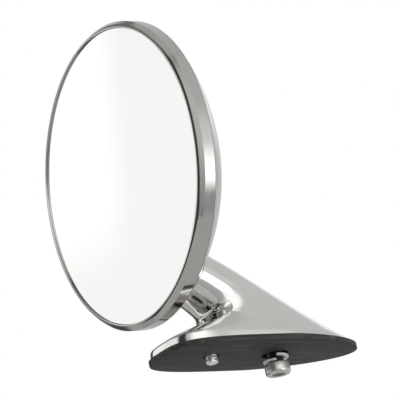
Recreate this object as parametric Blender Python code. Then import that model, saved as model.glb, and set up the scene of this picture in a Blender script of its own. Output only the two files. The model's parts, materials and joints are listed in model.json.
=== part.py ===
"""Round chrome door mirror on a swept base: every piece as its own solid, in metres, +Z up.

The origin is on the gasket's underside, the face that sits on the door skin. +Z points out of the
door, +X to the base's pointed tail, and the mirror faces -X. Lengths below are in millimetres.
"""

from math import asin, cos, pi, radians, sin

import bmesh
import bpy
from mathutils import Matrix, Vector

MM = 0.001

# Foot outline: a blunt toe at -X and a pointed tail at +X, widest at FOOT_WIDE of its half-length.
GASKET_THICK = 2.2
GASKET_TOE_X = -38.3
GASKET_TAIL_X = 50.4
GASKET_HALF_WIDTH = 20.5
CASTING_INSET = 0.9
FOOT_WIDE = 0.087
FOOT_Z = GASKET_THICK + 0.1

# Neck and ball joint. The neck rises towards the mirror at NECK_ANGLE above the horizontal.
NECK_ANGLE = radians(36)
NECK_AXIS = Vector((-cos(NECK_ANGLE), 0, sin(NECK_ANGLE)))
BALL_CENTRE = Vector((-13.7, 0, 27.9))
BALL_RADIUS = 6.0
LINER_INNER = 6.2
LINER_OUTER = 7.3
SOCKET_SPHERE = 7.5
SOCKET_OUTER = 8.4
BORE_RADIUS = 8.7
BORE_DEPTH = 12.6
SPRING_BORE_RADIUS = 5.2
SPRING_BORE_DEPTH = 22.0
SWING_CONE = radians(40)
MOUTH_EDGE = 1.0
RETAINER_SETBACK = 1.7

# The slot and the tension screw, each turned from the neck's underside towards -Y.
SLOT_TURN = radians(30)
TENSION_TURN = radians(39)
SLOT_HALF_WIDTH = 2.5
SLOT_END = -0.5
TENSION_SCREW_AT = -4.9
TENSION_SCREW_RADIUS = 1.25
NECK_REACH = 14.5

# Fixing on the underside: one M6 socket-head screw and one locating pin.
SCREW_X = 13.2
SCREW_RADIUS = 2.95
SCREW_HEAD_RADIUS = 5.0
SCREW_HEAD_HEIGHT = 4.4
SCREW_HEAD_TOP = -3.8
SCREW_END = 13.0
SCREW_HOLE_DEPTH = 15.0
HEX_ACROSS_FLATS = 5.0
HEX_DEPTH = 2.6
PIN_X = -15.8
PIN_RADIUS = 2.4
PIN_DROP = 3.3
PIN_HOLE_DEPTH = 9.6
HOLE_CLEARANCE = 0.2
WASHER_LIFT = 0.45
WASHER_RISE = 1.9

# Weight-saving pockets under the foot: low x, high x, half width and depth.
POCKETS = ((-9.5, 6.5, 10.5, 8.0), (20.5, 33.0, 6.5, 9.0))

# Mirror head. Radii are from its own axis and depths are behind the crest of the rim.
HEAD_CENTRE = Vector((-42.3, 0, 73.4))
HEAD_LEAN = radians(1.6)
HEAD_RADIUS = 59.7
LIP_WIDTH = 2.6
SHOULDER_IN = 1.15
SHOULDER_FRONT = 0.78
SHOULDER_DEPTH = 2.3
RIM_SEAM = 6.7
RIM_WALL = 0.8
DOME_RADIUS = 83.7
SHELL_THICK = 1.0
GLASS_RADIUS = 57.3
GLASS_FRONT = 0.95
GLASS_THICK = 3.0
DOME_EDGE = asin(HEAD_RADIUS / DOME_RADIUS)
DOME_CENTRE_DEPTH = RIM_SEAM + 0.2 - DOME_RADIUS * cos(DOME_EDGE)

HEAD_BACK = Vector((cos(HEAD_LEAN), 0, sin(HEAD_LEAN)))
DOME_CENTRE = HEAD_CENTRE + HEAD_BACK * DOME_CENTRE_DEPTH
STUD_AXIS = (DOME_CENTRE - BALL_CENTRE).normalized()
SHELL_FROM_BALL = (BALL_CENTRE - DOME_CENTRE).length - DOME_RADIUS

SEGMENTS = 56
SMALL_SEGMENTS = 28
CASTING_AROUND = 44
CASTING_STATIONS = 18


# Materials

def material(name, colour, roughness, metallic=0.0):
    made = bpy.data.materials.new(name)
    made.use_nodes = True
    shader = made.node_tree.nodes["Principled BSDF"]
    shader.inputs["Base Color"].default_value = (*colour, 1)
    shader.inputs["Roughness"].default_value = roughness
    shader.inputs["Metallic"].default_value = metallic
    return made


# Placing: a frame is an empty whose +Z is the given direction in the XZ plane.

def frame(name, place, z_axis, parent=None):
    empty = bpy.data.objects.new(name, None)
    bpy.context.scene.collection.objects.link(empty)
    side = Vector((0, 1, 0))
    across = side.cross(z_axis).normalized()
    world = Matrix((across, side, z_axis)).transposed().to_4x4()
    world.translation = place * MM
    empty.parent = parent
    empty.matrix_world = world
    bpy.context.view_layer.update()
    return empty


def radial_frame(name, turn):
    """A frame at the ball's centre whose +X is the neck's axis and whose +Z looks out of the neck."""
    out = Vector((-sin(NECK_ANGLE), 0, -cos(NECK_ANGLE))) * cos(turn) - Vector((0, sin(turn), 0))
    empty = bpy.data.objects.new(name, None)
    bpy.context.scene.collection.objects.link(empty)
    world = Matrix((NECK_AXIS, out.cross(NECK_AXIS), out)).transposed().to_4x4()
    world.translation = BALL_CENTRE * MM
    empty.matrix_world = world
    return empty


def put(obj, parent=None):
    """Gives the object its parent, and leaves its mesh in the parent's frame."""
    obj.parent = parent
    return obj


# Shapes. Each takes millimetres and makes one closed mesh.

def add_object(name, bm, look, smooth_angle=35):
    bmesh.ops.recalc_face_normals(bm, faces=bm.faces)
    bmesh.ops.scale(bm, vec=(MM, MM, MM), verts=bm.verts)
    mesh = bpy.data.meshes.new(name)
    bm.to_mesh(mesh)
    bm.free()
    mesh.shade_smooth()
    mesh.set_sharp_from_angle(angle=radians(smooth_angle))
    if look:
        mesh.materials.append(look)
    obj = bpy.data.objects.new(name, mesh)
    bpy.context.scene.collection.objects.link(obj)
    return obj


def turned(name, outline, look, segments=SMALL_SEGMENTS, ring=False):
    """Turns (radius, height) points about Z. A ring's outline closes on itself, off the axis."""
    bm = bmesh.new()
    points = [bm.verts.new((r, 0, h)) for r, h in outline]
    pairs = list(zip(points, points[1:]))
    if ring:
        pairs.append((points[-1], points[0]))
    edges = [bm.edges.new(pair) for pair in pairs]
    bmesh.ops.spin(
        bm, geom=points + edges, cent=(0, 0, 0), axis=(0, 0, 1),
        angle=2 * pi, steps=segments, use_merge=True,
    )
    bmesh.ops.remove_doubles(bm, verts=bm.verts, dist=1e-4)
    return add_object(name, bm, look)


def prism(name, outline, low, high, look=None):
    """Extrudes a closed (x, y) outline from z = low to z = high."""
    bm = bmesh.new()
    face = bm.faces.new([bm.verts.new((x, y, low)) for x, y in outline])
    extruded = bmesh.ops.extrude_face_region(bm, geom=[face])["geom"]
    top = [v for v in extruded if isinstance(v, bmesh.types.BMVert)]
    bmesh.ops.translate(bm, vec=(0, 0, high - low), verts=top)
    return add_object(name, bm, look)


def skinned(name, loops, look, caps=True):
    """Joins closed loops of points into one skin, with flat ends or with its last loop on its first."""
    bm = bmesh.new()
    rows = [[bm.verts.new(p) for p in loop] for loop in loops]
    follow = list(zip(rows, rows[1:]))
    if not caps:
        follow.append((rows[-1], rows[0]))
    for low, high in follow:
        for i in range(len(low)):
            j = (i + 1) % len(low)
            bm.faces.new((low[i], low[j], high[j], high[i]))
    if caps:
        bm.faces.new(rows[0][::-1])
        bm.faces.new(rows[-1])
    return add_object(name, bm, look)


def arc(centre, radius, start, end, steps):
    """Points (x, y) on an arc, its angles in degrees."""
    turns = [radians(start + (end - start) * i / steps) for i in range(steps + 1)]
    return [(centre[0] + radius * cos(a), centre[1] + radius * sin(a)) for a in turns]


def circle(centre, radius, points):
    return arc(centre, radius, 0, 360 * (points - 1) / points, points - 1)


def cut(obj, cutter, operation="DIFFERENCE"):
    cutter.hide_render = True
    cutter.display_type = "WIRE"
    modifier = obj.modifiers.new(cutter.name, "BOOLEAN")
    modifier.operation = operation
    modifier.solver = "EXACT"
    modifier.object = cutter


# The foot's outline and the casting's skin

def teardrop(u):
    """Half-width of the foot, from 0 to 1, at u from -1 at the toe to 1 at the tail."""
    if u < FOOT_WIDE:
        t = (FOOT_WIDE - u) / (1 + FOOT_WIDE)
        return max(0, 1 - t**4) ** (1 / 3.6)
    t = (u - FOOT_WIDE) / (1 - FOOT_WIDE)
    return max(0, 1 - t**1.42) ** 0.5


def section(toe, tail, half_width, roundness, around):
    """A loop between two (x, z) points: a teardrop where roundness is 0, an ellipse where it is 1."""
    loop = []
    for i in range(around):
        turn = 2 * pi * i / around
        u = -cos(turn)
        width = (1 - roundness) * teardrop(u) + roundness * (1 - u * u) ** 0.5
        side = 1 if sin(turn) >= 0 else -1
        x = toe[0] + (tail[0] - toe[0]) * (1 + u) / 2
        z = toe[1] + (tail[1] - toe[1]) * (1 + u) / 2
        loop.append((x, side * half_width * width, z))
    return loop


# Key sections of the casting, foot to mouth: the toe side's x and z, the ridge side's x and z, the
# half-width and the roundness.
FOOT_TOE_X = GASKET_TOE_X + CASTING_INSET
FOOT_TAIL_X = GASKET_TAIL_X - CASTING_INSET
FOOT_HALF_WIDTH = GASKET_HALF_WIDTH - CASTING_INSET
KEY_SECTIONS = (
    (FOOT_TOE_X, FOOT_Z, FOOT_TAIL_X, FOOT_Z, FOOT_HALF_WIDTH, 0.0),
    (FOOT_TOE_X + 0.4, 5.2, 46.2, 4.1, FOOT_HALF_WIDTH - 0.3, 0.0),
    (-34.3, 6.75, 39.4, 7.6, 18.5, 0.1),
    (-26.6, 9.75, 28.4, 14.2, 16.4, 0.35),
    (-18.9, 12.1, 15.0, 22.7, 14.8, 0.65),
    (-16.3, 15.2, 3.4, 30.3, 13.4, 0.9),
    (-19.6, 18.6, -6.0, 36.4, 12.5, 1.0),
    (-24.3, 22.1, -12.7, 40.6, 11.8, 1.0),
)


def key_values(place):
    """The six section values at a place from 0 to 1, by a curve through the key sections."""
    span = place * (len(KEY_SECTIONS) - 1)
    i = min(int(span), len(KEY_SECTIONS) - 2)
    t = span - i
    keys = [KEY_SECTIONS[max(0, min(j, len(KEY_SECTIONS) - 1))] for j in range(i - 1, i + 3)]
    values = []
    for a, b, c, d in zip(*keys):
        bend = 2 * a - 5 * b + 4 * c - d
        twist = 3 * b - a - 3 * c + d
        values.append(0.5 * (2 * b + (c - a) * t + bend * t * t + twist * t**3))
    return values


def casting_loops(stations, around):
    loops = []
    for k in range(stations + 1):
        x0, z0, x1, z1, width, roundness = key_values(k / stations)
        loops.append(section((x0, z0), (x1, z1), width, min(1, max(0, roundness)), around))
    mouth = [Vector(p) for p in loops[-1]]
    centre = sum(mouth, Vector()) / len(mouth)
    out = (mouth[0] - centre).cross(Vector((0, 1, 0))).normalized()
    out = out if out.x < 0 else -out
    for step in (1, 2, 3):
        turn = radians(30 * step)
        inset = MOUTH_EDGE * (1 - cos(turn))
        ring = [p + (centre - p).normalized() * inset + out * MOUTH_EDGE * sin(turn) for p in mouth]
        loops.append([tuple(p) for p in ring])
    return loops


def gasket_outline(points):
    half = (GASKET_TAIL_X - GASKET_TOE_X) / 2
    middle = (GASKET_TAIL_X + GASKET_TOE_X) / 2
    outline = []
    for i in range(points):
        turn = 2 * pi * i / points
        side = 1 if sin(turn) >= 0 else -1
        u = -cos(turn)
        outline.append((middle + half * u, side * GASKET_HALF_WIDTH * teardrop(u)))
    return outline


# Base pieces

def make_base(chrome, rubber, neck, slot, tension):
    casting = skinned("base_casting", casting_loops(CASTING_STATIONS, CASTING_AROUND), chrome)
    reach = 30
    cutters = [
        turned("cut_bore", stepped_bore(reach), None),
        prism("cut_slot", stadium(SLOT_HALF_WIDTH, SLOT_END, reach), 7.0, NECK_REACH),
        turned("cut_tension", cylinder(TENSION_SCREW_RADIUS + 0.15, 7.0, NECK_REACH), None, 16),
        turned("cut_screw", cylinder(SCREW_RADIUS + HOLE_CLEARANCE, -5, SCREW_HOLE_DEPTH), None),
        turned("cut_pin", cylinder(PIN_RADIUS + HOLE_CLEARANCE, -5, PIN_HOLE_DEPTH), None),
    ]
    put(cutters[0], neck)
    put(cutters[1], slot)
    put(cutters[2], tension).location.x = TENSION_SCREW_AT * MM
    cutters[3].location.x = SCREW_X * MM
    cutters[4].location.x = PIN_X * MM
    for i, (low_x, high_x, half_width, depth) in enumerate(POCKETS):
        cutters.append(prism(f"cut_pocket_{i + 1}", box_outline(low_x, high_x, half_width), -5, depth))
    for cutter in cutters:
        cut(casting, cutter)

    key = skinned("socket_key", casting_loops(CASTING_STATIONS, CASTING_AROUND), chrome)
    keep = prism("keep_key", stadium(SLOT_HALF_WIDTH - HOLE_CLEARANCE, SLOT_END, reach), 7.0, NECK_REACH)
    cut(key, put(keep, slot), "INTERSECT")
    cut(key, put(turned("cut_key_bore", cylinder(BORE_RADIUS, -14, reach), None, 40), neck))
    hole = prism("cut_key_hole", stadium(0.8, SLOT_END + 0.3, 3.6, both=True), 7.0, NECK_REACH)
    cut(key, put(hole, slot))

    gasket = prism("base_gasket", gasket_outline(64), 0, GASKET_THICK, rubber)
    holes = (("cut_gasket_screw", SCREW_X, 5.25), ("cut_gasket_pin", PIN_X, 3.2))
    for name, x, radius in holes:
        hole = turned(name, cylinder(radius, -5, 10), None)
        hole.location.x = x * MM
        cut(gasket, hole)


def cylinder(radius, low, high):
    return [(0, low), (radius, low), (radius, high), (0, high)]


def stepped_bore(reach):
    return [
        (0, -SPRING_BORE_DEPTH), (SPRING_BORE_RADIUS, -SPRING_BORE_DEPTH),
        (SPRING_BORE_RADIUS, -BORE_DEPTH), (BORE_RADIUS, -BORE_DEPTH),
        (BORE_RADIUS, reach), (0, reach),
    ]


def stadium(half_width, round_at, end, both=False):
    """A slot outline along X: round at its low end, and at its other end too if both."""
    outline = arc((round_at, 0), half_width, 90, 270, 12)
    if both:
        return outline + arc((round_at + end, 0), half_width, -90, 90, 12)
    return outline + [(end, -half_width), (end, half_width)]


def box_outline(low_x, high_x, half_y, radius=2.0):
    corners = ((high_x, half_y, 0), (low_x, half_y, 90), (low_x, -half_y, 180), (high_x, -half_y, 270))
    outline = []
    for x, y, start in corners:
        middle = (x - radius * (1 if x == high_x else -1), y - radius * (1 if y > 0 else -1))
        outline += arc(middle, radius, start, start + 90, 4)
    return outline


# Fixings on the underside

def make_fixings(zinc, steel):
    low = SCREW_HEAD_TOP - SCREW_HEAD_HEIGHT
    edge = 0.8
    outline = [(0, low), (SCREW_HEAD_RADIUS - edge, low)]
    outline += arc((SCREW_HEAD_RADIUS - edge, low + edge), edge, -60, 0, 3)
    outline += [(SCREW_HEAD_RADIUS, SCREW_HEAD_TOP - 0.3), (SCREW_HEAD_RADIUS - 0.3, SCREW_HEAD_TOP)]
    outline += [(SCREW_RADIUS, SCREW_HEAD_TOP), (SCREW_RADIUS, SCREW_END - 1), (SCREW_RADIUS - 1, SCREW_END)]
    screw = turned("mounting_screw", outline + [(0, SCREW_END)], zinc)
    screw.location.x = SCREW_X * MM
    hexagon = circle((0, 0), HEX_ACROSS_FLATS / 2 / cos(pi / 6), 6)
    socket = prism("cut_hex_socket", hexagon, low - 3, low + HEX_DEPTH)
    socket.location.x = SCREW_X * MM
    cut(screw, socket)

    bottom = -PIN_DROP
    outline = [(0, bottom), (PIN_RADIUS - 0.7, bottom), (PIN_RADIUS - 0.2, bottom + 0.25)]
    outline += [(PIN_RADIUS, bottom + 0.7), (PIN_RADIUS, 8.5), (PIN_RADIUS - 0.5, 9.0), (0, 9.0)]
    turned("locating_pin", outline, steel).location.x = PIN_X * MM
    spring_washer(zinc).location.x = SCREW_X * MM


def spring_washer(look):
    """A split washer: a flat strip in one turn that climbs by WASHER_RISE, split towards the toe and -Y.

    It hangs WASHER_LIFT above the screw's head, because the screw isn't driven home.
    """
    inner, outer, thick, steps = 3.25, 5.1, 0.8, 36
    split, opening = radians(-118), radians(7)
    loops = []
    for i in range(steps + 1):
        turn = split + opening / 2 + (2 * pi - opening) * i / steps
        low = SCREW_HEAD_TOP + WASHER_LIFT + WASHER_RISE * (1 - i / steps)
        corners = ((inner, low), (outer, low), (outer, low + thick), (inner, low + thick))
        loops.append([(r * cos(turn), r * sin(turn), z) for r, z in corners])
    return skinned("spring_washer", loops, look)


# The ball joint inside the neck

def sphere_arc(radius, start, end, steps):
    """(radius, height) points on a sphere, from a polar angle start to end in degrees."""
    return [(radius * sin(radians(a)), radius * cos(radians(a)))
            for a in (start + (end - start) * i / steps for i in range(steps + 1))]


def liner(name, start, end, look, stud):
    """A cup of the ball's own shape between two polar angles from the stud's axis."""
    outer = sphere_arc(LINER_OUTER, start, end, 5)
    inner = sphere_arc(LINER_INNER, end, start, 5)
    if end == 180:
        outer[-1], inner[0] = (0, -LINER_OUTER), (0, -LINER_INNER)
        obj = turned(name, outer[::-1] + inner[::-1], look)
    else:
        obj = turned(name, outer + inner, look, ring=True)
    return put(obj, stud)


def make_joint(nylon, steel, brass, zinc, neck, tension, stud):
    retainer = turned("socket_retainer", cylinder(SOCKET_OUTER, -0.6, 16), brass, 32)
    put(retainer, neck)
    cut(retainer, put(turned("cut_socket", sphere_arc(SOCKET_SPHERE, 0, 180, 16), None, 32), stud))
    reach = 40
    cone = [(0, 0), (reach * sin(SWING_CONE), reach * cos(SWING_CONE)), (0, reach * cos(SWING_CONE))]
    cut(retainer, put(turned("cut_swing_cone", cone, None, 32), stud))
    cut(retainer, beyond_mouth())

    cup = [(0, -12.0), (6.4, -12.0), (SOCKET_OUTER, -9.2), (SOCKET_OUTER, -1.0)]
    cup_rim = asin(1.0 / SOCKET_SPHERE)
    cavity = sphere_arc(SOCKET_SPHERE, 90 + cup_rim * 180 / pi, 180, 7)
    cavity[-1] = (0, -SOCKET_SPHERE)
    put(turned("pressure_cup", cup + cavity, brass, 32), neck)

    liner("rear_ball_liner", 112, 180, nylon, stud)
    liner("front_ball_liner", 42, 84, nylon, stud)
    put(pressure_spring(steel), neck)

    tip, top = SOCKET_OUTER + 0.15, 11.2
    outline = [(0, tip), (0.7, tip), (TENSION_SCREW_RADIUS, tip + 0.7)]
    outline += [(TENSION_SCREW_RADIUS, top), (0.8, top), (0.8, top - 1.4), (0, top - 1.4)]
    put(turned("tension_screw", outline, zinc, 16), tension).location.x = TENSION_SCREW_AT * MM


def beyond_mouth():
    """A block over everything in front of the retainer, RETAINER_SETBACK inside the casting's end face."""
    low = Vector((KEY_SECTIONS[-1][0], 0, KEY_SECTIONS[-1][1]))
    high = Vector((KEY_SECTIONS[-1][2], 0, KEY_SECTIONS[-1][3]))
    out = Vector((0, 1, 0)).cross((high - low).normalized())
    out = out if out.x < 0 else -out
    mouth = frame("mouth", (low + high) / 2 + out * (MOUTH_EDGE - RETAINER_SETBACK), out)
    return put(prism("cut_mouth", box_outline(-40, 40, 40), 0, 30), mouth)


def pressure_spring(look):
    """A coil of round wire behind the pressure cup."""
    coil, wire, turns, steps, sides = 3.9, 0.6, 4.5, 63, 6
    low, high = -SPRING_BORE_DEPTH + 0.8, -12.8
    loops = []
    for i in range(steps + 1):
        turn = 2 * pi * turns * i / steps
        middle = Vector((coil * cos(turn), coil * sin(turn), low + (high - low) * i / steps))
        out = Vector((cos(turn), sin(turn), 0))
        loops.append([tuple(middle + wire * (cos(a) * out + Vector((0, 0, sin(a)))))
                      for a in (2 * pi * k / sides for k in range(sides))])
    return skinned("pressure_spring", loops, look)


# Mirror head: all of it sits in the head's frame, whose +Z runs back from the rim's crest.

def make_head(chrome, glass, rubber, felt, head):
    tip = HEAD_RADIUS - LIP_WIDTH
    shoulder = HEAD_RADIUS - SHOULDER_IN
    inside = HEAD_RADIUS - RIM_WALL
    rim = [(HEAD_RADIUS, SHOULDER_DEPTH), (shoulder, SHOULDER_FRONT), (shoulder - 0.4, 0.35)]
    rim += [(shoulder - 0.8, 0.08), (tip + 0.25, 0), (tip + 0.05, 0.05), (tip, 0.22)]
    rim += [(tip, 0.5), (tip + 0.5, 0.55), (shoulder - 0.45, 1.1), (inside, SHOULDER_DEPTH - 0.14)]
    rim += [(inside, RIM_SEAM), (HEAD_RADIUS - 0.15, RIM_SEAM), (HEAD_RADIUS, RIM_SEAM - 0.15)]
    put(turned("rim_bezel", rim, chrome, SEGMENTS, ring=True), head)
    back = GLASS_FRONT + GLASS_THICK
    edge = 0.4
    pane = [(0, GLASS_FRONT), (GLASS_RADIUS - edge, GLASS_FRONT), (GLASS_RADIUS, GLASS_FRONT + edge)]
    pane += [(GLASS_RADIUS, back - edge), (GLASS_RADIUS - edge, back), (0, back)]
    put(turned("mirror_glass", pane, glass, SEGMENTS), head)

    wide, lap, gap = GLASS_RADIUS + 0.12, tip + 0.05, 0.08
    seal = [(wide, GLASS_FRONT - gap), (lap, GLASS_FRONT - gap), (lap, GLASS_FRONT - 0.23)]
    seal += [(tip + 0.5, GLASS_FRONT - 0.23), (shoulder - 0.57, 1.25), (inside - 0.15, SHOULDER_DEPTH)]
    seal += [(inside - 0.15, back + 0.3), (lap, back + 0.3), (lap, back + gap), (wide, back + gap)]
    put(turned("glass_seal", seal, rubber, SEGMENTS, ring=True), head)
    put(turned("backing_pad", cylinder(56.4, back + 0.1, back + 0.8), felt, SEGMENTS), head)
    return make_shell(chrome, head)


def dome(radius, edge, steps):
    """(radius, depth) points of a dome about DOME_CENTRE_DEPTH, from its edge to the head's axis."""
    turns = [edge * (1 - i / steps) for i in range(steps + 1)]
    return [(radius * sin(a), DOME_CENTRE_DEPTH + radius * cos(a)) for a in turns]


def make_shell(chrome, head):
    """A deep dome with a skirt that tucks inside the rim and presses on the seal."""
    tuck = HEAD_RADIUS - RIM_WALL - 0.1
    front = GLASS_FRONT + GLASS_THICK + 0.4
    inner_radius = DOME_RADIUS - SHELL_THICK
    outer = [(tuck, front), (tuck, RIM_SEAM + 0.05)] + dome(DOME_RADIUS, DOME_EDGE, 8)
    inner = dome(inner_radius, asin((tuck - SHELL_THICK) / inner_radius), 7)
    inner = [(tuck - SHELL_THICK, front)] + inner
    return put(turned("back_shell", inner[::-1] + outer, chrome, SEGMENTS), head)


# Stud and its fastening to the shell

def make_stud(steel, zinc, shell, stud):
    shank, thread, neck_end = 2.5, 2.4, asin(2.5 / BALL_RADIUS) * 180 / pi
    flange = SHELL_FROM_BALL - 0.35
    outline = sphere_arc(BALL_RADIUS, 180, neck_end, 9)
    outline[0] = (0, -BALL_RADIUS)
    outline += [(shank, flange - 1.0), (3.8, flange - 1.0), (4.0, flange - 0.8), (4.0, flange)]
    outline += [(thread, flange), (thread, flange + 9.0), (thread - 0.5, flange + 9.5), (0, flange + 9.5)]
    put(turned("ball_stud", outline, steel), stud)

    inside = SHELL_FROM_BALL + SHELL_THICK + 0.65
    plate = [(thread + 0.2, inside), (8.6, inside), (8.6, inside + 1.5), (thread + 0.2, inside + 1.5)]
    plate = put(turned("stud_plate", plate, zinc, 36, ring=True), stud)
    start = inside + 1.65
    washer = [(2.6, start), (4.6, start), (4.6, start + 0.9), (2.6, start + 0.9)]
    put(turned("stud_washer", washer, zinc, ring=True), stud)
    low = start + 1.05
    nut = prism("stud_nut", circle((0, 0), 4.0 / cos(pi / 6), 6), low, low + 3.2, zinc)
    put(nut, stud)
    bore = put(turned("cut_nut", cylinder(thread + 0.2, low - 5, low + 9), None), stud)
    cut(nut, bore)
    make_rivets(zinc, plate, shell, inside, stud)


def make_rivets(look, plate, shell, inside, stud):
    """Three rivets that hold the plate to the shell, set round the stud and flush outside."""
    flush = SHELL_FROM_BALL + 0.35
    for i in range(3):
        turn = radians(90 + 120 * i)
        outline = [(0, flush), (0.8, flush), (0.8, inside + 1.6), (1.5, inside + 1.6)]
        outline += [(1.3, inside + 2.2), (0, inside + 2.3)]
        name = f"plate_rivet_{i + 1}"
        place = Vector((6.5 * cos(turn), 6.5 * sin(turn), 0)) * MM
        put(turned(name, outline, look, 14), stud).location = place
        hole = put(turned(f"cut_rivet_{i + 1}", cylinder(1.0, 0, 30), None, 14), stud)
        hole.location = place
        cut(plate, hole)
        cut(shell, hole)


def main():
    for obj in list(bpy.data.objects):
        bpy.data.objects.remove(obj)
    chrome = material("chrome", (0.8, 0.8, 0.79), 0.06, 1)
    zinc = material("zinc_plated_steel", (0.55, 0.54, 0.52), 0.35, 1)
    steel = material("bright_steel", (0.7, 0.7, 0.7), 0.2, 1)
    brass = material("brass", (0.7, 0.55, 0.28), 0.3, 1)
    rubber = material("black_rubber", (0.03, 0.03, 0.03), 0.75)
    nylon = material("white_nylon", (0.8, 0.79, 0.75), 0.5)
    felt = material("grey_felt", (0.25, 0.25, 0.25), 0.95)
    glass = material("silvered_glass", (0.93, 0.95, 0.94), 0.02, 1)

    neck = frame("neck_axis", BALL_CENTRE, NECK_AXIS)
    slot = radial_frame("slot_line", SLOT_TURN)
    tension = radial_frame("tension_line", TENSION_TURN)
    stud = frame("ball_joint", BALL_CENTRE, STUD_AXIS)
    head = frame("head_axis", HEAD_CENTRE, HEAD_BACK, stud)

    make_base(chrome, rubber, neck, slot, tension)
    make_fixings(zinc, steel)
    make_joint(nylon, steel, brass, zinc, neck, tension, stud)
    shell = make_head(chrome, glass, rubber, felt, head)
    cut(shell, put(turned("cut_stud", cylinder(2.7, 0, 30), None), stud))
    make_stud(steel, zinc, shell, stud)


main()
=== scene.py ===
"""Looks of the round chrome door mirror: fine meshes, materials, camera and light around the CAD frame.

Lengths are in millimetres unless a name says otherwise, in the CAD frame: the origin is on the gasket's
underside, +Z points out of the door, +X to the base's pointed tail, and the mirror faces -X.
"""

import json
from math import asin, cos, pi, radians, sin

import bmesh
import bpy
from mathutils import Matrix, Vector


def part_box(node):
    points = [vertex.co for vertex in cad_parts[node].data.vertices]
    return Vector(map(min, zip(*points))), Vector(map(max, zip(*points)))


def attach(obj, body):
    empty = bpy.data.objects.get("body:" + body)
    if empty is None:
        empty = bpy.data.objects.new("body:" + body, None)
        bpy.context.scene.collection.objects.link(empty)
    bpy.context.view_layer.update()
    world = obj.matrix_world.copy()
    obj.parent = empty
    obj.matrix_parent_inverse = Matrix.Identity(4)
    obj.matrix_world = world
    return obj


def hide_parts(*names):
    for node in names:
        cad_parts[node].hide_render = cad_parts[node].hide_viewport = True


MM = 0.001

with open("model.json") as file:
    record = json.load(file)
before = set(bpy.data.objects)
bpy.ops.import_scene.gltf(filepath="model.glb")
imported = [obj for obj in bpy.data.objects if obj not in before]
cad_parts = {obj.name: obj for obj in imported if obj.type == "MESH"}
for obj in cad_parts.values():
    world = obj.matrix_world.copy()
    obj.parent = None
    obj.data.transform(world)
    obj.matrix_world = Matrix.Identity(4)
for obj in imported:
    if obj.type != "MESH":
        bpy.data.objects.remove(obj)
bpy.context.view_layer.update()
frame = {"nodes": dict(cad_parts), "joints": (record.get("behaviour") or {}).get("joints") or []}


def cad_size(node):
    low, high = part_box(node)
    return (high - low) / MM


def cad_middle(node):
    low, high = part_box(node)
    return (high + low) / 2 / MM


JOINTS = {joint["name"]: joint for joint in frame["joints"]}

# Base: the foot's outline comes from the gasket's box, the ball's place from its joint. The key's slot and
# the grub screw are turned from the neck's underside towards -Y, and heights in them are from the ball.
GASKET_LOW, GASKET_HIGH = (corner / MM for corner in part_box("base_gasket"))
GASKET_THICK = GASKET_HIGH.z
GASKET_HALF_WIDTH = GASKET_HIGH.y
CASTING_INSET = 0.9
FOOT_WIDE = 0.087
FOOT_Z = GASKET_THICK + 0.1
BALL_CENTRE = Vector(JOINTS["head_pan"]["pos_m"]) / MM
STUD_AXIS = Vector(JOINTS["head_spin"]["axis"]).normalized()
NECK_ANGLE = radians(36)
NECK_AXIS = Vector((-cos(NECK_ANGLE), 0, sin(NECK_ANGLE)))
BORE_RADIUS = 8.7
BORE_DEPTH = 12.6
SPRING_BORE_RADIUS = 5.2
SPRING_BORE_DEPTH = 22
MOUTH_EDGE = 1.0
SLOT_TURN = radians(30)
TENSION_TURN = radians(39)
SLOT_HALF_WIDTH = 2.5
SLOT_END = -0.5
TENSION_SCREW_AT = -4.9
TENSION_SCREW_RADIUS = 1.25
TENSION_SCREW_TIP = 8.55
TENSION_SCREW_TOP = 11.2
NECK_WALL_FROM = 7.0
NECK_REACH = 14.5
KEY_GAP = 0.2
KEY_HOLE_HALF_WIDTH = 0.8
KEY_HOLE_LENGTH = 3.6
# Pockets under the foot: low x, high x, half width and depth.
POCKETS = ((-9.5, 6.5, 10.5, 8.0), (20.5, 33.0, 6.5, 9.0))
# Cutters of the foot and gasket start here, clear below them.
BELOW = -5

# Fixings
SCREW_X = cad_middle("mounting_screw").x
SCREW_HEAD_RADIUS = cad_size("mounting_screw").y / 2
SCREW_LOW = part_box("mounting_screw")[0].z / MM
SCREW_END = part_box("mounting_screw")[1].z / MM
SCREW_HEAD_HEIGHT = 4.4
SCREW_HEAD_TOP = SCREW_LOW + SCREW_HEAD_HEIGHT
HEX_ACROSS_FLATS = 5.0
HEX_DEPTH = 2.6
# The M6 thread, with the points in one turn and the height between rows.
THREAD_PITCH = 1.0
THREAD_MAJOR = 2.95
THREAD_MINOR = 2.42
THREAD_AROUND = 72
THREAD_STEP = 0.1
SCREW_HOLE_RADIUS = 3.15
SCREW_HOLE_DEPTH = 15
GASKET_SCREW_HOLE_RADIUS = 5.25
PIN_X = cad_middle("locating_pin").x
PIN_RADIUS = cad_size("locating_pin").y / 2
PIN_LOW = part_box("locating_pin")[0].z / MM
PIN_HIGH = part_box("locating_pin")[1].z / MM
PIN_HOLE_DEPTH = 9.6
GASKET_PIN_HOLE_RADIUS = 3.2
HOLE_CLEARANCE = 0.2
WASHER_INNER, WASHER_OUTER, WASHER_THICK = 3.25, 5.1, 0.8
WASHER_SPLIT = radians(-118)
WASHER_OPENING = radians(7)
WASHER_LIFT = 0.45
WASHER_RISE = 1.9

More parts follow.
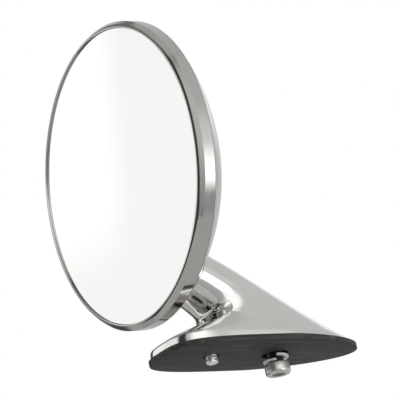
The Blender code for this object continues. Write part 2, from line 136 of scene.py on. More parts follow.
# Head: radii are from its own axis and depths are behind the crest of the rim.
HEAD_CENTRE = Vector((-42.3, 0, 73.4))
HEAD_LEAN = radians(1.6)
HEAD_BACK = Vector((cos(HEAD_LEAN), 0, sin(HEAD_LEAN)))
HEAD_RADIUS = cad_size("rim_bezel").y / 2
LIP_WIDTH = 2.6
SHOULDER_IN = 1.15
SHOULDER_FRONT = 0.78
SHOULDER_DEPTH = 2.3
RIM_SEAM = 6.7
RIM_WALL = 0.8
DOME_RADIUS = 83.7
SHELL_THICK = 1.0
GLASS_RADIUS = cad_size("mirror_glass").y / 2
GLASS_FRONT = 0.95
GLASS_BACK = GLASS_FRONT + 3.0
GLASS_EDGE = 0.3
PANE_FRONT = 0.78
SEAL_LAP = 0.6
DOME_EDGE = asin(HEAD_RADIUS / DOME_RADIUS)
DOME_CENTRE_DEPTH = RIM_SEAM + 0.2 - DOME_RADIUS * cos(DOME_EDGE)

# The rivets of the stud's plate, which come through the shell.
RIVETS = 3
RIVET_CIRCLE = 6.5
RIVET_HOLE_RADIUS = 1.0
STUD_HOLE_RADIUS = 2.7

# Fineness of the meshes
ROUND = 288
SMALL_ROUND = 96
HOLE_ROUND = 64
SMALL_HOLE_ROUND = 48
CASTING_AROUND = 240
CASTING_STATIONS = 150


# Placing

def axis_matrix(place, z_axis, side=Vector((0, 1, 0))):
    """A frame whose +Z is the given direction, in metres."""
    across = side.cross(z_axis).normalized()
    world = Matrix((across, z_axis.cross(across), z_axis)).transposed().to_4x4()
    world.translation = place * MM
    return world


def radial_matrix(turn):
    """A frame at the ball's centre whose +X is the neck's axis and whose +Z looks out of the neck."""
    out = Vector((-sin(NECK_ANGLE), 0, -cos(NECK_ANGLE))) * cos(turn) - Vector((0, sin(turn), 0))
    world = Matrix((NECK_AXIS, out.cross(NECK_AXIS), out)).transposed().to_4x4()
    world.translation = BALL_CENTRE * MM
    return world


HEAD = axis_matrix(HEAD_CENTRE, HEAD_BACK)
NECK = axis_matrix(BALL_CENTRE, NECK_AXIS)
STUD = axis_matrix(BALL_CENTRE, STUD_AXIS)
SLOT = radial_matrix(SLOT_TURN)
TENSION = radial_matrix(TENSION_TURN) @ Matrix.Translation((TENSION_SCREW_AT * MM, 0, 0))
SCREW = Matrix.Translation((SCREW_X * MM, 0, 0))
PIN = Matrix.Translation((PIN_X * MM, 0, 0))


# Shapes. Each takes millimetres and makes one closed mesh.

def add_object(name, bm, place=Matrix.Identity(4), smooth_angle=30):
    bmesh.ops.recalc_face_normals(bm, faces=bm.faces)
    bmesh.ops.scale(bm, vec=(MM, MM, MM), verts=bm.verts)
    bmesh.ops.transform(bm, matrix=place, verts=bm.verts)
    mesh = bpy.data.meshes.new(name)
    bm.to_mesh(mesh)
    bm.free()
    mesh.shade_smooth()
    mesh.set_sharp_from_angle(angle=radians(smooth_angle))
    obj = bpy.data.objects.new(name, mesh)
    bpy.context.scene.collection.objects.link(obj)
    return obj


def turned(name, outline, place, segments=ROUND, ring=False):
    """Turns (radius, height) points about Z. A ring's outline closes on itself, off the axis."""
    bm = bmesh.new()
    points = [bm.verts.new((r, 0, h)) for r, h in outline]
    pairs = list(zip(points, points[1:]))
    if ring:
        pairs.append((points[-1], points[0]))
    edges = [bm.edges.new(pair) for pair in pairs]
    bmesh.ops.spin(
        bm, geom=points + edges, cent=(0, 0, 0), axis=(0, 0, 1),
        angle=2 * pi, steps=segments, use_merge=True,
    )
    bmesh.ops.remove_doubles(bm, verts=bm.verts, dist=1e-4)
    return add_object(name, bm, place)


def prism(name, outline, low, high, place=Matrix.Identity(4), edge=0.0):
    """Extrudes a closed (x, y) outline from z = low to z = high, its rims rounded by edge."""
    bm = bmesh.new()
    face = bm.faces.new([bm.verts.new((x, y, low)) for x, y in outline])
    extruded = bmesh.ops.extrude_face_region(bm, geom=[face])["geom"]
    top = [v for v in extruded if isinstance(v, bmesh.types.BMVert)]
    bmesh.ops.translate(bm, vec=(0, 0, high - low), verts=top)
    if edge:
        rims = [e for e in bm.edges if abs(e.verts[0].co.z - e.verts[1].co.z) < 1e-6]
        bmesh.ops.bevel(bm, geom=rims, offset=edge, segments=3, affect="EDGES", profile=0.5)
    return add_object(name, bm, place)


def skinned(name, loops, place=Matrix.Identity(4)):
    """Joins closed loops of points into one skin with flat ends."""
    bm = bmesh.new()
    rows = [[bm.verts.new(p) for p in loop] for loop in loops]
    for low, high in zip(rows, rows[1:]):
        for i in range(len(low)):
            j = (i + 1) % len(low)
            bm.faces.new((low[i], low[j], high[j], high[i]))
    bm.faces.new(rows[0][::-1])
    bm.faces.new(rows[-1])
    return add_object(name, bm, place)


def arc(centre, radius, start, end, steps):
    """Points (x, y) on an arc, its angles in degrees."""
    turns = [radians(start + (end - start) * i / steps) for i in range(steps + 1)]
    return [(centre[0] + radius * cos(a), centre[1] + radius * sin(a)) for a in turns]


def circle(radius, points):
    return arc((0, 0), radius, 0, 360 * (points - 1) / points, points - 1)


def rounded(outline, radius, steps=4, closed=False):
    """The outline with its corners cut to arcs of about that radius. An open outline keeps its ends."""
    made = []
    count = len(outline)
    for i, point in enumerate(outline):
        if not closed and i in (0, count - 1):
            made.append(point)
            continue
        here = Vector(point)
        before, after = Vector(outline[i - 1]), Vector(outline[(i + 1) % count])
        reach = min(radius, (before - here).length / 2, (after - here).length / 2)
        start = here + (before - here).normalized() * reach
        end = here + (after - here).normalized() * reach
        for k in range(steps + 1):
            t = k / steps
            made.append(tuple((1 - t) ** 2 * start + 2 * t * (1 - t) * here + t * t * end))
    return made


def cylinder(radius, low, high):
    return [(0, low), (radius, low), (radius, high), (0, high)]


def stadium(half_width, round_at, end, both=False):
    """A slot outline along X: round at its low end, and at its other end too if both."""
    outline = arc((round_at, 0), half_width, 90, 270, 32)
    if both:
        return outline + arc((round_at + end, 0), half_width, -90, 90, 32)
    return outline + [(end, -half_width), (end, half_width)]


def cut(obj, *cutters, operation="DIFFERENCE"):
    """Applies Booleans and removes their cutters."""
    for cutter in cutters:
        modifier = obj.modifiers.new(cutter.name, "BOOLEAN")
        modifier.operation = operation
        modifier.solver = "EXACT"
        modifier.object = cutter
    graph = bpy.context.evaluated_depsgraph_get()
    mesh = bpy.data.meshes.new_from_object(obj.evaluated_get(graph))
    obj.modifiers.clear()
    obj.data = mesh
    mesh.shade_smooth()
    mesh.set_sharp_from_angle(angle=radians(30))
    for cutter in cutters:
        bpy.data.objects.remove(cutter)
    return obj


def finished(obj, look, body, slot, *nodes):
    """Gives a piece its material and the body that it rides on, and hides the CAD nodes it stands for. slot,
    its finish, is not used.
    """
    obj.data.materials.clear()
    obj.data.materials.append(look)
    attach(obj, body)
    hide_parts(*nodes)
    return obj


# The foot's outline and the casting's skin

def teardrop(u):
    """Half-width of the foot, from 0 to 1, at u from -1 at the toe to 1 at the tail."""
    if u < FOOT_WIDE:
        t = (FOOT_WIDE - u) / (1 + FOOT_WIDE)
        return max(0, 1 - t**4) ** (1 / 3.6)
    t = (u - FOOT_WIDE) / (1 - FOOT_WIDE)
    return max(0, 1 - t**1.42) ** 0.5


def section(toe, tail, half_width, roundness, around):
    """A loop between two (x, z) points: a teardrop where roundness is 0, an ellipse where it is 1."""
    loop = []
    for i in range(around):
        turn = 2 * pi * i / around
        u = -cos(turn)
        width = (1 - roundness) * teardrop(u) + roundness * (1 - u * u) ** 0.5
        side = 1 if sin(turn) >= 0 else -1
        x = toe[0] + (tail[0] - toe[0]) * (1 + u) / 2
        z = toe[1] + (tail[1] - toe[1]) * (1 + u) / 2
        loop.append((x, side * half_width * width, z))
    return loop


# Key sections of the casting, foot to mouth: the toe side's x and z, the ridge side's x and z, the
# half-width and the roundness.
FOOT_TOE_X = GASKET_LOW.x + CASTING_INSET
FOOT_TAIL_X = GASKET_HIGH.x - CASTING_INSET
FOOT_HALF_WIDTH = GASKET_HALF_WIDTH - CASTING_INSET
KEY_SECTIONS = (
    (FOOT_TOE_X, FOOT_Z, FOOT_TAIL_X, FOOT_Z, FOOT_HALF_WIDTH, 0.0),
    (FOOT_TOE_X + 0.4, 5.2, 46.2, 4.1, FOOT_HALF_WIDTH - 0.3, 0.0),
    (-34.3, 6.75, 39.4, 7.6, 18.5, 0.1),
    (-26.6, 9.75, 28.4, 14.2, 16.4, 0.35),
    (-18.9, 12.1, 15.0, 22.7, 14.8, 0.65),
    (-16.3, 15.2, 3.4, 30.3, 13.4, 0.9),
    (-19.6, 18.6, -6.0, 36.4, 12.5, 1.0),
    (-24.3, 22.1, -12.7, 40.6, 11.8, 1.0),
)


def key_values(place):
    """The six section values at a place from 0 to 1, by a Catmull-Rom curve through the key sections."""
    span = place * (len(KEY_SECTIONS) - 1)
    i = min(int(span), len(KEY_SECTIONS) - 2)
    t = span - i
    keys = [KEY_SECTIONS[max(0, min(j, len(KEY_SECTIONS) - 1))] for j in range(i - 1, i + 3)]
    values = []
    for a, b, c, d in zip(*keys):
        square = 2 * a - 5 * b + 4 * c - d
        cube = 3 * b - a - 3 * c + d
        values.append(0.5 * (2 * b + (c - a) * t + square * t * t + cube * t**3))
    return values


def casting_loops(stations, around):
    """The casting's skin from foot to mouth, with the mouth's rim rounded over by MOUTH_EDGE."""
    loops = []
    for k in range(stations + 1):
        x0, z0, x1, z1, width, roundness = key_values(k / stations)
        loops.append(section((x0, z0), (x1, z1), width, min(1, max(0, roundness)), around))
    mouth = [Vector(p) for p in loops[-1]]
    centre = sum(mouth, Vector()) / len(mouth)
    out = (mouth[0] - centre).cross(Vector((0, 1, 0))).normalized()
    out = out if out.x < 0 else -out
    steps = 6
    for step in range(1, steps + 1):
        turn = pi / 2 * step / steps
        inset = MOUTH_EDGE * (1 - cos(turn))
        ring = [p + (centre - p).normalized() * inset + out * MOUTH_EDGE * sin(turn) for p in mouth]
        loops.append([tuple(p) for p in ring])
    return loops


def gasket_outline(points):
    """The foot's outline, grown to the gasket's box."""
    half = (GASKET_HIGH.x - GASKET_LOW.x) / 2
    middle = (GASKET_HIGH.x + GASKET_LOW.x) / 2
    outline = []
    for i in range(points):
        turn = 2 * pi * i / points
        side = 1 if sin(turn) >= 0 else -1
        u = -cos(turn)
        outline.append((middle + half * u, side * GASKET_HALF_WIDTH * teardrop(u)))
    return outline


# Materials

class Nodes:
    """Adds nodes to one material's tree and links them by socket."""

    def __init__(self, tree):
        self.tree = tree

    def add(self, kind, **values):
        """A new node, each value set on its property or else on its input of that name."""
        node = self.tree.nodes.new(kind)
        for name, value in values.items():
            if hasattr(node, name):
                setattr(node, name, value)
            else:
                self.set(node.inputs[name.replace("_", " ")], value)
        return node

    def set(self, socket, value):
        if isinstance(value, bpy.types.NodeSocket):
            self.tree.links.new(value, socket)
        else:
            socket.default_value = value

    def noise(self, scale, detail=3.0, stretch=(1, 1, 1), lean=0.0):
        where = self.add("ShaderNodeTexCoord").outputs["Object"]
        mapping = self.add("ShaderNodeMapping", Vector=where, Rotation=(0, lean, 0), Scale=stretch)
        texture = self.add("ShaderNodeTexNoise", Vector=mapping.outputs[0], Scale=scale, Detail=detail)
        return texture.outputs[0]

    def spread(self, factor, low, high, start=0.3, end=0.7):
        made = self.add("ShaderNodeMapRange", From_Min=start, From_Max=end, To_Min=low, To_Max=high)
        self.set(made.inputs["Value"], factor)
        return made.outputs[0]

    def mix(self, factor, first, second):
        made = self.add("ShaderNodeMix", data_type="RGBA")
        self.set(made.inputs["Factor"], factor)
        self.set(made.inputs[6], first)
        self.set(made.inputs[7], second)
        return made.outputs[2]

    def math(self, operation, *values):
        made = self.add("ShaderNodeMath", operation=operation)
        for socket, value in zip(made.inputs, values):
            self.set(socket, value)
        return made.outputs[0]

    def edge(self, angle, where, soft):
        """0 to 1 as an angle in radians rises past a place in degrees, or 1 to 0 where soft is negative."""
        start, end = radians(where - soft / 2), radians(where + soft / 2)
        made = self.add("ShaderNodeMapRange", interpolation_type="SMOOTHSTEP")
        low, high = (0, 1) if soft > 0 else (1, 0)
        values = (*sorted((start, end)), low, high)
        for name, value in zip(("From Min", "From Max", "To Min", "To Max"), values):
            made.inputs[name].default_value = value
        self.set(made.inputs["Value"], angle)
        return made.outputs[0]

    def bump(self, height, distance, strength=1.0):
        return self.add("ShaderNodeBump", Height=height, Distance=distance, Strength=strength).outputs[0]


def colour4(colour):
    return (*colour, 1)


def surface(
    name, colours, roughness, metallic, grain, relief, spots,
    specular=0.5, detail=4.0, stretch=(1, 1, 1), lean=0.0,
):
    """A material whose colour drifts between two tones and whose roughness and relief follow a grain.

    grain and spots are noise scales per metre, and relief is the height of the grain in metres. stretch
    scales the grain along each axis, after a turn of lean about Y.
    """
    made = bpy.data.materials.new(name)
    made.use_nodes = True
    nodes = Nodes(made.node_tree)
    shader = made.node_tree.nodes["Principled BSDF"]
    drift = nodes.spread(nodes.noise(spots), 0, 1)
    nodes.set(shader.inputs["Base Color"], nodes.mix(drift, colour4(colours[0]), colour4(colours[1])))
    fine = nodes.noise(grain, detail, stretch, lean)
    nodes.set(shader.inputs["Roughness"], nodes.spread(fine, *roughness))
    shader.inputs["Metallic"].default_value = metallic
    shader.inputs["Specular IOR Level"].default_value = specular
    if relief:
        nodes.set(shader.inputs["Normal"], nodes.bump(fine, relief))
    return made


def lay_over(look, colour, cover):
    """Lays a colour over a material's own, by the factor from 0 to 1 that cover makes with its nodes."""
    nodes = Nodes(look.node_tree)
    socket = look.node_tree.nodes["Principled BSDF"].inputs["Base Color"]
    nodes.set(socket, nodes.mix(cover(nodes), socket.links[0].from_socket, colour4(colour)))
    return look


def moulding_marks(nodes):
    """Faint marks along the rubber's length."""
    return nodes.spread(nodes.noise(1.0, 6.0, (50, 850, 850)), 0, 0.75, 0.46, 0.68)


def painted_shade_above_screw_head(nodes):
    """Painted shade: the factor is 1 on the screw's thread above its head, which is painted near black as
    shade.
    """
    where = nodes.add("ShaderNodeTexCoord").outputs["Object"]
    height = nodes.add("ShaderNodeSeparateXYZ", Vector=where).outputs["Z"]
    return nodes.spread(height, 0, 1, SCREW_HEAD_TOP * MM, (SCREW_HEAD_TOP + 0.1) * MM)


ZINC_TONES = ((0.92, 0.91, 0.88), (0.44, 0.43, 0.41))
CASTING_CHROME = surface(
    "chromed_casting", ((0.80, 0.79, 0.77), (0.76, 0.75, 0.73)), (0.04, 0.09),
    metallic=1, grain=250, relief=0.00001, spots=60,
)
SATIN_CHROME = surface(
    "satin_chrome", ((0.86, 0.85, 0.83), (0.72, 0.71, 0.70)), (0.22, 0.38),
    metallic=0.6, grain=900, relief=0.00001, spots=200,
)
# Polished sheet steel, with fine rolling marks around the head's axis.
STAINLESS = surface(
    "polished_stainless", ((0.61, 0.60, 0.58), (0.55, 0.54, 0.52)), (0.05, 0.16),
    metallic=1, grain=1.0, relief=0.000012, spots=80, detail=5.0, stretch=(1900, 60, 60), lean=HEAD_LEAN,
)
MIRROR = surface(
    "silvered_glass", ((0.95, 0.952, 0.94), (0.925, 0.93, 0.912)), (0.01, 0.03),
    metallic=1, grain=40, relief=0, spots=12,
)
RUBBER = surface(
    "black_rubber", ((0.022, 0.022, 0.021), (0.034, 0.034, 0.032)), (0.5, 0.7),
    metallic=0, grain=2500, relief=0.00003, spots=120, specular=0.3,
)
lay_over(RUBBER, (0.085, 0.085, 0.080), moulding_marks)
ZINC = surface(
    "dull_zinc_plate", ZINC_TONES, (0.20, 0.40), metallic=0.8, grain=1400, relief=0.00004, spots=450,
)
# The screw's zinc, with painted shade: its thread above the head is painted near black.
SHADED_SCREW_ZINC = surface(
    "zinc_plate_painted_shade_thread", ZINC_TONES, (0.20, 0.40), metallic=0.8, grain=1400, relief=0.00004, spots=450,
)
lay_over(SHADED_SCREW_ZINC, (0.07, 0.07, 0.065), painted_shade_above_screw_head)
BRIGHT = surface(
    "bright_steel", ((0.92, 0.92, 0.91), (0.70, 0.70, 0.69)), (0.10, 0.25),
    metallic=1, grain=1500, relief=0.00002, spots=400,
)
PEENED = surface(
    "peened_steel", ((1.00, 1.00, 0.99), (0.88, 0.88, 0.87)), (0.10, 0.28),
    metallic=0.7, grain=650, relief=0.00035, spots=700,
)
SPRING_ZINC = surface(
    "bright_zinc_plate", ((1.0, 1.0, 0.99), (0.90, 0.90, 0.89)), (0.20, 0.35),
    metallic=0.15, grain=1500, relief=0, spots=400,
)
BLACKENED = surface(
    "blackened_steel", ((0.05, 0.05, 0.05), (0.03, 0.03, 0.03)), (0.35, 0.5),
    metallic=1, grain=1500, relief=0.00001, spots=300,
)
BRASS = surface(
    "turned_brass", ((0.70, 0.55, 0.28), (0.60, 0.45, 0.20)), (0.2, 0.35),
    metallic=1, grain=1500, relief=0.00001, spots=300,
)
NYLON = surface(
    "natural_nylon", ((0.80, 0.79, 0.75), (0.74, 0.72, 0.66)), (0.4, 0.55),
    metallic=0, grain=800, relief=0.00001, spots=200,
)
FELT = surface(
    "grey_felt", ((0.25, 0.25, 0.25), (0.17, 0.17, 0.17)), (0.9, 1.0),
    metallic=0, grain=3000, relief=0.0002, spots=500,
)


# Base pieces

def make_casting():
    reach = 30
    casting = skinned("chrome_casting", casting_loops(CASTING_STATIONS, CASTING_AROUND))
    bore = [(0, -SPRING_BORE_DEPTH), (SPRING_BORE_RADIUS, -SPRING_BORE_DEPTH)]
    bore += [(SPRING_BORE_RADIUS, -BORE_DEPTH), (BORE_RADIUS, -BORE_DEPTH), (BORE_RADIUS, reach), (0, reach)]
    grub_hole = cylinder(TENSION_SCREW_RADIUS + 0.15, NECK_WALL_FROM, NECK_REACH)
    cutters = [
        turned("cut_bore", bore, NECK, SMALL_ROUND),
        prism("cut_slot", stadium(SLOT_HALF_WIDTH, SLOT_END, reach), NECK_WALL_FROM, NECK_REACH, SLOT),
        turned("cut_tension", grub_hole, TENSION, SMALL_HOLE_ROUND),
        turned("cut_screw", cylinder(SCREW_HOLE_RADIUS, BELOW, SCREW_HOLE_DEPTH), SCREW, HOLE_ROUND),
        turned("cut_pin", cylinder(PIN_RADIUS + HOLE_CLEARANCE, BELOW, PIN_HOLE_DEPTH), PIN, HOLE_ROUND),
    ]
    for i, (low, high, half, depth) in enumerate(POCKETS):
        outline = rounded([(low, -half), (high, -half), (high, half), (low, half)], 2, 6, closed=True)
        cutters.append(prism(f"cut_pocket_{i}", outline, BELOW, depth))
    finished(cut(casting, *cutters), CASTING_CHROME, "base", "chrome", "base_casting")


def make_key():
    key = skinned("neck_key", casting_loops(CASTING_STATIONS, CASTING_AROUND))
    tongue = stadium(SLOT_HALF_WIDTH - KEY_GAP, SLOT_END, 30)
    cut(key, prism("keep_key", tongue, NECK_WALL_FROM, NECK_REACH, SLOT), operation="INTERSECT")
    bore = turned("cut_key_bore", cylinder(BORE_RADIUS, -14, 30), NECK, SMALL_ROUND)
    hole = stadium(KEY_HOLE_HALF_WIDTH, SLOT_END + 0.3, KEY_HOLE_LENGTH, both=True)
    cut(key, bore, prism("cut_key_hole", hole, NECK_WALL_FROM, NECK_REACH, SLOT))
    finished(key, SATIN_CHROME, "base", "chrome", "socket_key")


def make_gasket():
    gasket = prism("rubber_gasket", gasket_outline(220), 0, GASKET_THICK, edge=0.25)
    cut(
        gasket,
        turned("cut_gasket_screw", cylinder(GASKET_SCREW_HOLE_RADIUS, BELOW, 10), SCREW, HOLE_ROUND),
        turned("cut_gasket_pin", cylinder(GASKET_PIN_HOLE_RADIUS, BELOW, 10), PIN, HOLE_ROUND),
    )
    finished(gasket, RUBBER, "base", "rubber", "base_gasket")


# Fixings

def thread_radius(turn, height, start, end):
    """The radius of an M6 thread, fading out at both ends of the shank."""
    phase = (height / THREAD_PITCH - turn / (2 * pi)) % 1
    crest = min(1, max(0, 1.25 * (1 - abs(2 * phase - 1)) - 0.06))
    fade = min(1, (height - start) / 0.8, (end - height) / 1.2)
    return THREAD_MINOR + (THREAD_MAJOR - THREAD_MINOR) * crest * max(0.05, fade)


def make_screw():
    low, top = SCREW_LOW, SCREW_HEAD_TOP
    turns = [2 * pi * i / THREAD_AROUND for i in range(THREAD_AROUND)]
    head = [(0, low), (SCREW_HEAD_RADIUS - 0.55, low), (SCREW_HEAD_RADIUS, low + 0.75)]
    head = rounded(head + [(SCREW_HEAD_RADIUS, top), (THREAD_MINOR, top)], 0.3, 4)[1:]
    loops = [[(r * cos(a), r * sin(a), h) for a in turns] for r, h in head]
    start = top + 0.05
    rows = int((SCREW_END - start) / THREAD_STEP)
    for i in range(rows + 1):
        height = start + (SCREW_END - start) * i / rows
        radii = [thread_radius(a, height, top, SCREW_END) for a in turns]
        loops.append([(r * cos(a), r * sin(a), height) for a, r in zip(turns, radii)])
    screw = skinned("cap_screw", loops, SCREW)
    hexagon = rounded(circle(HEX_ACROSS_FLATS / 2 / cos(pi / 6), 6), 0.25, 3, closed=True)
    cut(screw, prism("cut_hex", hexagon, low - 3, low + HEX_DEPTH, SCREW))
    # Its material paints shade, near black, on the thread above the head.
    finished(screw, SHADED_SCREW_ZINC, "base", "zinc_steel", "mounting_screw")


def make_washer():
    """A split washer: a flat strip in one turn that climbs by WASHER_RISE."""
    strip = [(WASHER_INNER, 0), (WASHER_OUTER, 0), (WASHER_OUTER, WASHER_THICK), (WASHER_INNER, WASHER_THICK)]
    corners = rounded(strip, 0.18, 3, closed=True)
    steps = 160
    loops = []
    for i in range(steps + 1):
        turn = WASHER_SPLIT + WASHER_OPENING / 2 + (2 * pi - WASHER_OPENING) * i / steps
        low = SCREW_HEAD_TOP + WASHER_LIFT + WASHER_RISE * (1 - i / steps)
        loops.append([(r * cos(turn), r * sin(turn), low + h) for r, h in corners])
    finished(skinned("split_washer", loops, SCREW), SPRING_ZINC, "base", "zinc_steel", "spring_washer")


def make_pin():
    outline = [(0, PIN_LOW), (PIN_RADIUS - 1.1, PIN_LOW + 0.1), (PIN_RADIUS - 0.25, PIN_LOW + 0.45)]
    outline += [(PIN_RADIUS, PIN_LOW + 0.9)]
    outline += [(PIN_RADIUS, PIN_HIGH - 0.5), (PIN_RADIUS - 0.5, PIN_HIGH), (0, PIN_HIGH)]
    pin = turned("guide_pin", rounded(outline, 0.35), PIN, SMALL_ROUND)
    finished(pin, PEENED, "base", "bright_steel", "locating_pin")


def make_grub_screw():
    tip, top, radius = TENSION_SCREW_TIP, TENSION_SCREW_TOP, TENSION_SCREW_RADIUS
    outline = [(0, tip), (radius - 0.55, tip), (radius, tip + 0.7), (radius, top), (0, top)]
    screw = turned("grub_screw", rounded(outline, 0.12), TENSION, SMALL_HOLE_ROUND)
    cut(screw, prism("cut_grub_hex", circle(0.75, 6), top - 1.4, top + 3, TENSION))
    finished(screw, SATIN_CHROME, "base", "zinc_steel", "tension_screw")


# Head pieces

def dome(radius, edge, steps):
    """(radius, depth) points of a dome about DOME_CENTRE_DEPTH, from its edge to the head's axis."""
    turns = [edge * (1 - i / steps) for i in range(steps + 1)]
    return [(radius * sin(a), DOME_CENTRE_DEPTH + radius * cos(a)) for a in turns]


def subdivided(outline, steps):
    """The outline with each of its straight stretches cut into equal steps."""
    made = []
    for start, end in zip(outline, outline[1:]):
        made += [tuple(Vector(start).lerp(Vector(end), i / steps)) for i in range(steps)]
    return made + [outline[-1]]


def bend(start, corner, end, steps):
    """A quadratic curve from start to end that leaves and arrives towards the corner."""
    a, b, c = Vector(start), Vector(corner), Vector(end)
    shares = [i / steps for i in range(steps + 1)]
    return [tuple((1 - s) ** 2 * a + 2 * s * (1 - s) * b + s * s * c) for s in shares]


def make_rim():
    """A straight wall, a sloping shoulder and a narrow lip that rolls down to the glass."""
    tip = HEAD_RADIUS - LIP_WIDTH
    shoulder = HEAD_RADIUS - SHOULDER_IN
    inside = HEAD_RADIUS - RIM_WALL
    rear = RIM_SEAM + 0.12
    above_pane = PANE_FRONT - 0.03
    wall = [(HEAD_RADIUS, rear - 0.06), (HEAD_RADIUS, SHOULDER_DEPTH)]
    slope = [wall[1], (shoulder, SHOULDER_FRONT)]
    crest = (tip + 0.25, 0)
    rim = [(inside, rear), (HEAD_RADIUS - 0.06, rear)] + subdivided(wall, 8) + subdivided(slope, 5)[1:]
    rim += bend(slope[1], (shoulder - 0.65, 0.06), crest, 16)[1:]
    rim += bend(crest, (tip, 0), (tip, 0.22), 5)[1:]
    rim += [(tip, above_pane), (tip + SEAL_LAP, above_pane), (inside, SHOULDER_DEPTH)]
    finished(turned("chrome_rim", rim, HEAD, ring=True), STAINLESS, "head", "chrome", "rim_bezel")


def make_glass():
    flat = GLASS_RADIUS - GLASS_EDGE
    pane = [(0, PANE_FRONT), (flat, PANE_FRONT), (GLASS_RADIUS, PANE_FRONT + GLASS_EDGE)]
    pane += [(GLASS_RADIUS, GLASS_BACK - GLASS_EDGE), (flat, GLASS_BACK), (0, GLASS_BACK)]
    finished(turned("mirror_pane", rounded(pane, 0.12), HEAD), MIRROR, "head", "mirror", "mirror_glass")


def make_seal():
    """A channel round the glass's edge, between the rim's lip and the shell."""
    hem = HEAD_RADIUS - LIP_WIDTH - 0.1
    inner = GLASS_RADIUS + 0.12
    outer = HEAD_RADIUS - RIM_WALL - 0.15
    front, back = PANE_FRONT + 0.12, GLASS_BACK + 0.3
    seal = [(inner, front + 0.2), (inner, front), (HEAD_RADIUS - LIP_WIDTH + SEAL_LAP, front)]
    seal += [(outer, SHOULDER_DEPTH), (outer, back), (hem, back), (hem, GLASS_BACK + 0.05)]
    seal += [(inner, GLASS_BACK + 0.05)]
    finished(turned("rubber_seal", seal, HEAD, ring=True), RUBBER, "head", "rubber", "glass_seal")


def make_shell():
    tuck = HEAD_RADIUS - RIM_WALL - 0.1
    front = GLASS_BACK + 0.4
    inner_radius = DOME_RADIUS - SHELL_THICK
    outer = [(tuck, front), (tuck, RIM_SEAM + 0.05)] + dome(DOME_RADIUS, DOME_EDGE, 90)
    inner = dome(inner_radius, asin((tuck - SHELL_THICK) / inner_radius), 60)
    inner = [(tuck - SHELL_THICK, front)] + inner
    shell = turned("chrome_shell", inner[::-1] + outer, HEAD)
    cutters = [turned("cut_stud", cylinder(STUD_HOLE_RADIUS, 0, 30), STUD, HOLE_ROUND)]
    for i in range(RIVETS):
        turn = radians(90 + 360 / RIVETS * i)
        aside = Vector((cos(turn), sin(turn), 0)) * RIVET_CIRCLE * MM
        place = STUD @ Matrix.Translation(aside)
        cutters.append(turned(f"cut_rivet_{i}", cylinder(RIVET_HOLE_RADIUS, 0, 30), place, 32))
    finished(cut(shell, *cutters), STAINLESS, "head", "chrome", "back_shell")


# CAD pieces that stay as they are, hidden inside or nearly so, get their materials here.

CARRIED = {
    "socket_retainer": BLACKENED, "pressure_cup": BRASS, "pressure_spring": BRIGHT,
    "rear_ball_liner": NYLON, "front_ball_liner": NYLON, "ball_stud": BRIGHT,
    "stud_plate": ZINC, "stud_washer": ZINC, "stud_nut": ZINC, "backing_pad": FELT,
    "plate_rivet_1": ZINC, "plate_rivet_2": ZINC, "plate_rivet_3": ZINC,
}


def dress_carried():
    for node, look in CARRIED.items():
        mesh = frame["nodes"][node].data
        mesh.materials.clear()
        mesh.materials.append(look)


# Studio

CAMERA_AIM = Vector((-15.2, -12.2, 59.2))
CAMERA_DISTANCE = 1100
CAMERA_AZIMUTH = radians(-33.12)
CAMERA_ELEVATION = radians(-17.36)
CAMERA_ROLL = radians(-10.91)
CAMERA_LENS = 257.4
# The floor's place and size are in metres.
FLOOR_Z = -2.5
FLOOR_RADIUS = 3.2


def make_camera():
    back = Vector((
        sin(CAMERA_AZIMUTH) * cos(CAMERA_ELEVATION), -cos(CAMERA_AZIMUTH) * cos(CAMERA_ELEVATION),
        sin(CAMERA_ELEVATION),
    ))
    data = bpy.data.cameras.new("camera")
    data.lens = CAMERA_LENS
    data.sensor_width = 36
    data.clip_start, data.clip_end = 0.01, 100
    camera = bpy.data.objects.new("camera", data)
    bpy.context.scene.collection.objects.link(camera)
    turn = (-back).to_track_quat("-Z", "Y").to_matrix().to_4x4() @ Matrix.Rotation(CAMERA_ROLL, 4, "Z")
    camera.matrix_world = Matrix.Translation((CAMERA_AIM + back * CAMERA_DISTANCE) * MM) @ turn
    bpy.context.scene.camera = camera


def make_floor():
    bm = bmesh.new()
    bmesh.ops.create_circle(bm, cap_ends=True, segments=96, radius=FLOOR_RADIUS)
    mesh = bpy.data.meshes.new("floor")
    bm.to_mesh(mesh)
    bm.free()
    floor = bpy.data.objects.new("floor", mesh)
    floor.location.z = FLOOR_Z
    bpy.context.scene.collection.objects.link(floor)
    tones = ((0.86, 0.86, 0.86), (0.84, 0.84, 0.84))
    mesh.materials.append(surface("pale_floor", tones, (0.8, 0.9), metallic=0, grain=20, relief=0, spots=3))


# Brightness of the studio's walls by height, in degrees.
STUDIO_HEIGHTS = (
    (-90, 0.50), (-52, 0.46), (-38, 0.41), (-28, 0.42), (-12, 0.54),
    (12, 0.62), (53, 0.62), (67, 0.53), (90, 0.50),
)
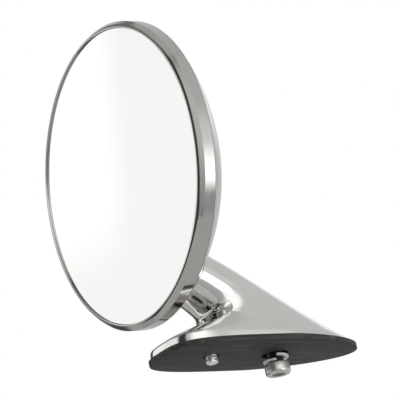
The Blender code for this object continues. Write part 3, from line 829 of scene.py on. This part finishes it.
# Panels in front of them, farthest first: middle azimuth, half width, lowest and highest elevation, softness
# sideways, softness up and down, all in degrees, and brightness.
PANELS = (
    # Soft boxes beside the camera, one tall and the others low, and one behind the mirror
    (-104, 21, -7, 86, 24, 22, 1.25),
    (-78, 15, 60, 84, 16, 12, 1.00),
    (-100, 12, -16, 2, 12, 6, 1.20),
    (-72, 22, -14, 11, 10, 7, 2.60),
    (-60, 20, -22, 1, 10, 13, 2.20),
    (-54, 14, -5, 22, 12, 24, 0.95),
    (38, 8, 18, 32, 10, 8, 1.00),
    # The dark side before the pane, with a pale board in it
    (133, 55, 38, 64, 10, 8, 0.22),
    (150, 40, -52, -16, 10, 8, 0.04),
    (148, 24, -14, 38, 14, 8, 1.00),
    (196, 19, -46, 60, 16, 10, 0.05),
    (88, 18, -14, 30, 8, 8, 0.08),
    # White cards that the pane mirrors
    (124, 15, 2, 28, 3, 6, 0.965),
    (113, 9, 14.5, 28, 5, 4, 1.12),
)


def make_world():
    """A white backdrop to the camera. Mirrors see a grey studio with soft boxes and a dark side."""
    world = bpy.data.worlds.new("studio")
    world.use_nodes = True
    bpy.context.scene.world = world
    nodes = Nodes(world.node_tree)
    direction = nodes.add("ShaderNodeTexCoord").outputs["Generated"]
    height = nodes.add("ShaderNodeSeparateXYZ", Vector=direction).outputs["Z"]
    elevation = nodes.math("ARCSINE", height)
    ramp = nodes.add("ShaderNodeValToRGB")
    nodes.set(ramp.inputs[0], nodes.spread(elevation, 0, 1, -pi / 2, pi / 2))
    stops = ramp.color_ramp.elements
    stops.remove(stops[1])
    for angle, level in STUDIO_HEIGHTS:
        place = (angle + 90) / 180
        stop = stops.new(place) if place else stops[0]
        stop.color = (level, level, level, 1)
    seen = ramp.outputs[0]
    for azimuth, half, low, high, side_soft, rise_soft, level in PANELS:
        turned_to = nodes.add("ShaderNodeVectorRotate", rotation_type="Z_AXIS", Vector=direction)
        turned_to.inputs["Angle"].default_value = -radians(azimuth)
        flat = nodes.add("ShaderNodeSeparateXYZ", Vector=turned_to.outputs[0])
        aside = nodes.math("ABSOLUTE", nodes.math("ARCTAN2", flat.outputs["Y"], flat.outputs["X"]))
        masks = (
            nodes.edge(aside, half, -side_soft), nodes.edge(elevation, low, rise_soft),
            nodes.edge(elevation, high, -rise_soft),
        )
        mask = nodes.math("MULTIPLY", nodes.math("MULTIPLY", masks[0], masks[1]), masks[2])
        seen = nodes.mix(mask, seen, colour4((level, level, level)))
    to_camera = nodes.add("ShaderNodeLightPath").outputs["Is Camera Ray"]
    background = world.node_tree.nodes["Background"]
    nodes.set(background.inputs["Color"], nodes.mix(to_camera, seen, colour4((1, 1, 1))))


bpy.context.scene.view_settings.view_transform = "Standard"
make_casting()
make_key()
make_gasket()
make_screw()
make_washer()
make_pin()
make_grub_screw()
make_rim()
make_glass()
make_seal()
make_shell()
dress_carried()
make_camera()
make_floor()
make_world()
